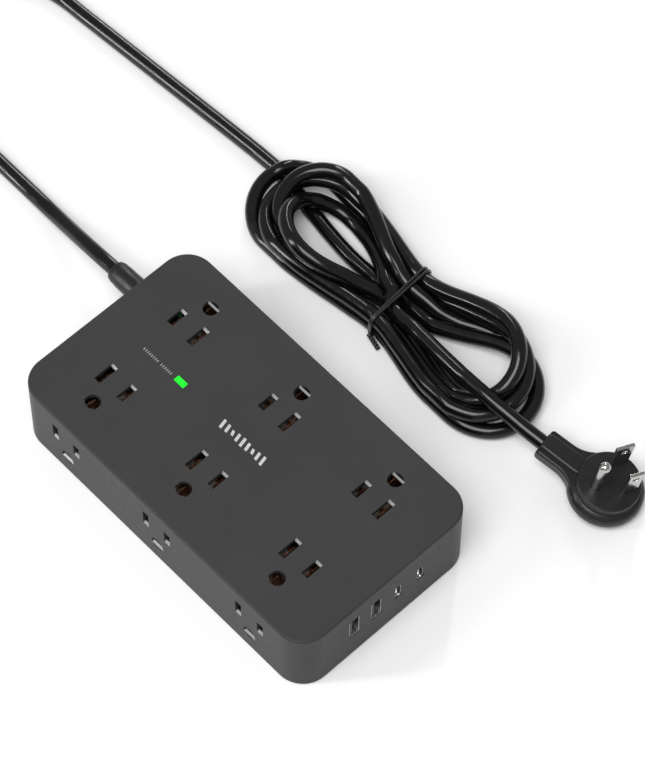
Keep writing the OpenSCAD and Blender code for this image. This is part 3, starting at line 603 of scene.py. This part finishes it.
def vinyl(name, color, roughness, vary=0.2, spec=0.5, coat=0.2):
    """Glossy moulded vinyl with faint flow marks and handling haze."""
    n = Nodes(name)
    dark, light = shades(color, vary)
    tone = n.ramp(n.noise(55, 4), [(0.35, dark), (0.7, light)])
    gloss = n.spread(n.noise(240, 5), roughness - 0.05, roughness + 0.09)
    normal = n.bump(n.noise(420, 3), 0.012 * MM, n.bump(n.noise(2400, 2), 0.004 * MM))
    return n.finish(tone, gloss, normal, Specular_IOR_Level=spec, Coat_Weight=coat, Coat_Roughness=0.12)


def metal(name, color, roughness, along=(1, 1, 1), vary=0.08, depth=0.004):
    """Plated or stamped metal with drawn lines along one axis and dull patches."""
    n = Nodes(name)
    dark, light = shades(color, vary)
    lines = n.noise(900, 3, n.stretched(along))
    tone = n.ramp(n.noise(70, 4), [(0.3, dark), (0.7, light)])
    gloss = n.spread(lines, roughness * 0.7, roughness * 1.5)
    return n.finish(tone, gloss, n.bump(lines, depth * MM), Metallic=1.0)


def circuit_board(name):
    """Green solder mask over copper tracks, which show as lighter bands."""
    n = Nodes(name)
    brick = n.add("ShaderNodeTexBrick", Scale=160.0)
    brick.inputs["Mortar Size"].default_value = 0.03
    n.join(n.where, brick.inputs["Vector"])
    tone = n.ramp(brick.outputs["Fac"], [(0.2, (0.004, 0.03, 0.01)), (0.8, (0.01, 0.08, 0.022))])
    gloss = n.spread(n.noise(300, 3), 0.25, 0.42)
    return n.finish(tone, gloss, n.bump(brick.outputs["Fac"], 0.03 * MM), Coat_Weight=0.3)


def lit_lens(name):
    """A light pipe with a lamp behind it, its glow varying a little at random."""
    n = Nodes(name)
    glow = n.ramp(n.noise(420, 2), [(0.3, (0.0, 0.72, 0.01)), (0.7, (0.01, 0.95, 0.03))])
    n.join(glow, n.shader.inputs["Emission Color"])
    gloss = n.spread(n.noise(900, 2), 0.2, 0.35)
    return n.finish(glow, gloss, n.bump(n.noise(1500, 2), 0.004 * MM), Emission_Strength=0.55)


def printed_ink(name, color):
    n = Nodes(name)
    dark, light = shades(color, 0.1)
    tone = n.ramp(n.noise(1200, 3), [(0.35, dark), (0.65, light)])
    return n.finish(tone, n.spread(n.noise(800, 3), 0.4, 0.6), n.bump(n.noise(3000, 2), 0.003 * MM))


def taped_core(name):
    """A ferrite core with amber tape round its windings."""
    n = Nodes(name)
    bands = n.add("ShaderNodeTexWave", Scale=60.0, Distortion=0.4, bands_direction="Z")
    n.join(n.where, bands.inputs["Vector"])
    tone = n.ramp(bands.outputs["Fac"], [(0.45, (0.03, 0.028, 0.026)), (0.55, (0.5, 0.32, 0.05))])
    return n.finish(tone, n.spread(n.noise(500, 3), 0.35, 0.6), n.bump(n.noise(1800, 3), 0.01 * MM))


ALONG_X, ALONG_Y, ALONG_Z = (0.04, 1, 1), (1, 0.04, 1), (1, 1, 0.04)
MATERIALS = {
    "housing": moulded_plastic("housing_plastic", (0.041, 0.0402, 0.041), 0.46, vary=0.04, spec=0.15),
    "cover": moulded_plastic("cover_plastic", (0.02, 0.02, 0.0205), 0.55, grain=1900, depth=0.02),
    "black_plastic": moulded_plastic("black_plastic", (0.022, 0.022, 0.023), 0.35),
    "foot_rubber": moulded_plastic("foot_rubber", (0.018, 0.018, 0.018), 0.75, grain=1400, depth=0.03),
    "screw_steel": metal("screw_steel", (0.6, 0.6, 0.62), 0.3),
    "lamp_green": lit_lens("lamp_green"),
    "lamp_clear": moulded_plastic("lamp_clear", (0.6, 0.85, 0.6), 0.15, grain=900, depth=0.004, coat=0.5),
    "insulator": moulded_plastic("insulator", (0.55, 0.5, 0.42), 0.5),
    "contact_brass": metal("contact_brass", (0.34, 0.17, 0.1), 0.34, ALONG_Y, 0.2),
    "contact_copper": metal("contact_copper", (0.3, 0.11, 0.07), 0.34, ALONG_Y, 0.2),
    "board": circuit_board("circuit_board"),
    "varistor_blue": moulded_plastic("varistor_epoxy", (0.03, 0.1, 0.42), 0.25, grain=700, depth=0.04,
                                     coat=0.4),
    "ceramic": moulded_plastic("ceramic", (0.74, 0.71, 0.64), 0.3, grain=1200, coat=0.4),
    "capacitor_yellow": moulded_plastic("capacitor_case", (0.66, 0.46, 0.05), 0.35),
    "transformer": taped_core("transformer_core"),
    "capacitor_sleeve": moulded_plastic("capacitor_sleeve", (0.02, 0.03, 0.12), 0.25, coat=0.4),
    "port_steel": metal("port_steel", (0.7, 0.7, 0.72), 0.26, ALONG_Y),
    "port_tongue": moulded_plastic("port_tongue", (0.03, 0.03, 0.032), 0.45),
    "wire_black": vinyl("wire_black", (0.02, 0.02, 0.02), 0.35),
    "wire_white": vinyl("wire_white", (0.7, 0.69, 0.66), 0.35, 0.06),
    "wire_green": vinyl("wire_green", (0.03, 0.26, 0.08), 0.35),
    "moulded_rubber": vinyl("moulded_vinyl", (0.013, 0.013, 0.0132), 0.3, 0.1, 0.32, 0),
    "cord_jacket": vinyl("cord_vinyl", (0.0035, 0.0035, 0.0038), 0.13, 0.1, 0.4, 0),
    "tie": vinyl("tie_coating", (0.014, 0.014, 0.0145), 0.34, 0.1),
    "plug_metal": metal("plug_nickel", (0.52, 0.51, 0.5), 0.13, ALONG_Z, 0.05, 0.0008),
}
SLOT_OF = {row["node"]: row["material_slot"] for row in frame["record"]["subparts"]}


def dress(obj, slot):
    obj.data.materials.clear()
    obj.data.materials.append(MATERIALS[slot])


for node, obj in frame["nodes"].items():
    dress(obj, SLOT_OF[node])
dress(mains_cord, "cord_jacket")
for obj in (strain_relief, plug_shell, *plug_neck_parts):
    dress(obj, "moulded_rubber")
for obj in tie_parts:
    dress(obj, "tie")
for obj in plug_pins:
    dress(obj, "plug_metal")

# ---- case pieces with softened edges, in place of the plain CAD ones ----

SOFTENED = {
    "top_housing": ("housing", 0.14), "bottom_cover": ("base_cover", 0.2),
    "rubber_feet": ("feet", 0.3), "case_screws": ("cover_screws", 0.12),
    "indicator_lens": ("status_lens", 0.15), "breaker_nut": ("reset_ring", 0.2),
    "breaker_button": ("reset_button", 0.3), "breaker_body": ("reset_housing", 0.15),
    "usb_a_shell_1": ("wide_port_1", 0.08), "usb_a_shell_2": ("wide_port_2", 0.08),
    "usb_a_tongue_1": ("wide_port_tongue_1", 0.12), "usb_a_tongue_2": ("wide_port_tongue_2", 0.12),
    "usb_c_port_1": ("narrow_port_1", 0.06), "usb_c_port_2": ("narrow_port_2", 0.06),
}
for node, (name, bevel) in SOFTENED.items():
    obj = soft_copy(node, name, bevel * MM)
    dress(obj, SLOT_OF[node])

# ---- print on the top: a plain mark of bars, and a line of small ticks by the lens ----

TOP_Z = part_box("top_housing")[1].z
INK_THICK = 0.03 * MM


def ink_bars(name, bars, ink):
    """Thin slanted bars of ink: each is (middle x, middle y, width along Y, length along X, slant)."""
    points, faces = [], []
    for x, y, wide, tall, slant in bars:
        k = len(points)
        for z in (TOP_Z, TOP_Z + INK_THICK):
            for sx, sy in ((-1, -1), (1, -1), (1, 1), (-1, 1)):
                points.append(((x + sx * tall / 2) * MM, (y + sy * wide / 2 + sx * slant) * MM, z))
        faces += [(k + 4, k + 5, k + 6, k + 7)]
        faces += [(k + i, k + (i + 1) % 4, k + 4 + (i + 1) % 4, k + 4 + i) for i in range(4)]
    obj = mesh_object(name, points, faces)
    obj.data.materials.append(ink)
    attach(obj, "root")


mark = []
for k in range(9):
    tall = 2.2 + 2.0 * abs(math.cos(math.pi * k / 4))
    mark.append((-0.25, -11.6 + 2.95 * k, 1.35, tall, 0.45))
ink_bars("top_mark", mark, printed_ink("mark_ink", (0.5, 0.5, 0.5)))
ticks = []
for k in range(15):
    if k != 6:
        ticks.append((0.15, 43.8 + 1.15 * k, 0.42, 1.2, 0.0))
ink_bars("lens_ticks", ticks, printed_ink("tick_ink", (0.3, 0.3, 0.3)))

# ---- wedges at one end of every opening, in a light grey: a painted highlight on the slot ends ----

ROWS_X, ROW_OFF, ROW_Y, PITCH = 0.5, 19.55, 0.6, 55     # middle and reach of the rows, and their outlets
BLADE_Y, SLOT_T, LONG_SLOT, SHORT_SLOT = 6.35, 3.4, 10, 8.5
SIDE_Z, CASE_X = 24.7, 47.9                             # the slots in the long sides
GROUND_FLAT, SIDE_FLAT_Z, FLAT_T = 14.8, 9.9, 6.5       # the flats of the ground openings
RAMP_W, FLAT_RAMP_W, RAMP_D, LIP = 0.95, 0.7, 1.1, 0.12


def ramp(points, faces, corner, along, wide, down):
    """A wedge at the end of a slot: along points into the slot, down points into the wall."""
    k = len(points)
    a, w, d = (Vector(v) * MM for v in (along, wide, down))
    c = Vector(corner) * MM
    for side in (-0.5, 0.5):
        points.extend((c + w * side + d * LIP, c + w * side + a + d, c + w * side + d))
    faces.extend([(k, k + 1, k + 4, k + 3), (k, k + 2, k + 1), (k + 3, k + 4, k + 5),
                  (k + 1, k + 2, k + 5, k + 4), (k, k + 3, k + 5, k + 2)])


def slot_glint_wedges():
    points, faces = [], []
    z = TOP_Z / MM
    for k in (-1, 0, 1):
        for side in (-1, 1):            # the right row is turned half round
            for across, length in ((BLADE_Y, LONG_SLOT), (-BLADE_Y, SHORT_SLOT)):
                x = ROWS_X + side * ROW_OFF + length / 2
                y = ROW_Y + k * PITCH - side * across
                ramp(points, faces, (x, y, z), (-RAMP_W, 0, 0), (0, SLOT_T, 0), (0, 0, -RAMP_D))
            for across, length in ((BLADE_Y, LONG_SLOT), (-BLADE_Y, SHORT_SLOT)):
                y = k * PITCH - side * across
                ramp(points, faces, (side * CASE_X, y, SIDE_Z - length / 2), (0, 0, RAMP_W),
                     (0, SLOT_T, 0), (-side * RAMP_D, 0, 0))
            ramp(points, faces, (side * CASE_X, k * PITCH, SIDE_FLAT_Z), (0, 0, FLAT_RAMP_W),
                 (0, FLAT_T, 0), (-side * RAMP_D, 0, 0))
        ramp(points, faces, (ROWS_X + ROW_OFF + GROUND_FLAT, ROW_Y + k * PITCH, z),
             (-FLAT_RAMP_W, 0, 0), (0, FLAT_T, 0), (0, 0, -RAMP_D))
    obj = shade(mesh_object("slot_glint_wedges", points, faces))
    # the wedges are a light grey, far lighter than the case plastic: a painted highlight at the end of
    # each slot
    obj.data.materials.append(moulded_plastic("painted_glint_plastic", (0.3, 0.3, 0.3), 0.18, vary=0.06))
    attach(obj, "root")


slot_glint_wedges()

# ---- floor, light and background ----


def pale_floor():
    n = Nodes("pale_floor")
    tone = n.ramp(n.noise(3, 3), [(0.3, (0.9, 0.9, 0.9)), (0.7, (0.93, 0.93, 0.93))])
    return n.finish(tone, n.spread(n.noise(8, 3), 0.7, 0.8), n.bump(n.noise(400, 2), 0.01 * MM))


FLOOR_REACH = 4
CORNERS = ((-1, -1), (1, -1), (1, 1), (-1, 1))
floor = mesh_object("floor", [(x * FLOOR_REACH, y * FLOOR_REACH, 0) for x, y in CORNERS], [(0, 1, 2, 3)])
floor.data.materials.append(pale_floor())


def softbox(name, at, aim, size, power):
    lamp = bpy.data.lights.new(name, "AREA")
    lamp.shape = "RECTANGLE"
    lamp.size, lamp.size_y = size
    lamp.energy = power
    obj = link(name, lamp)
    obj.location = at
    obj.rotation_euler = (Vector(aim) - Vector(at)).to_track_quat("-Z", "Y").to_euler()


MIDDLE = (0.04, 0.03, 0.02)
softbox("overhead", (-0.75, -0.35, 2.0), MIDDLE, (1.3, 1.3), 36)
softbox("left_strip", (-1.15, 0.75, 0.75), MIDDLE, (0.16, 1.3), 9)
softbox("right_strip", (1.25, 0.9, 0.9), MIDDLE, (0.1, 1.2), 5)
world = bpy.data.worlds.new("studio")
bpy.context.scene.world = world
world.use_nodes = True
world.node_tree.nodes["Background"].inputs["Color"].default_value = (1, 1, 1, 1)
world.node_tree.nodes["Background"].inputs["Strength"].default_value = 0.36
bpy.context.scene.view_settings.view_transform = "Standard"
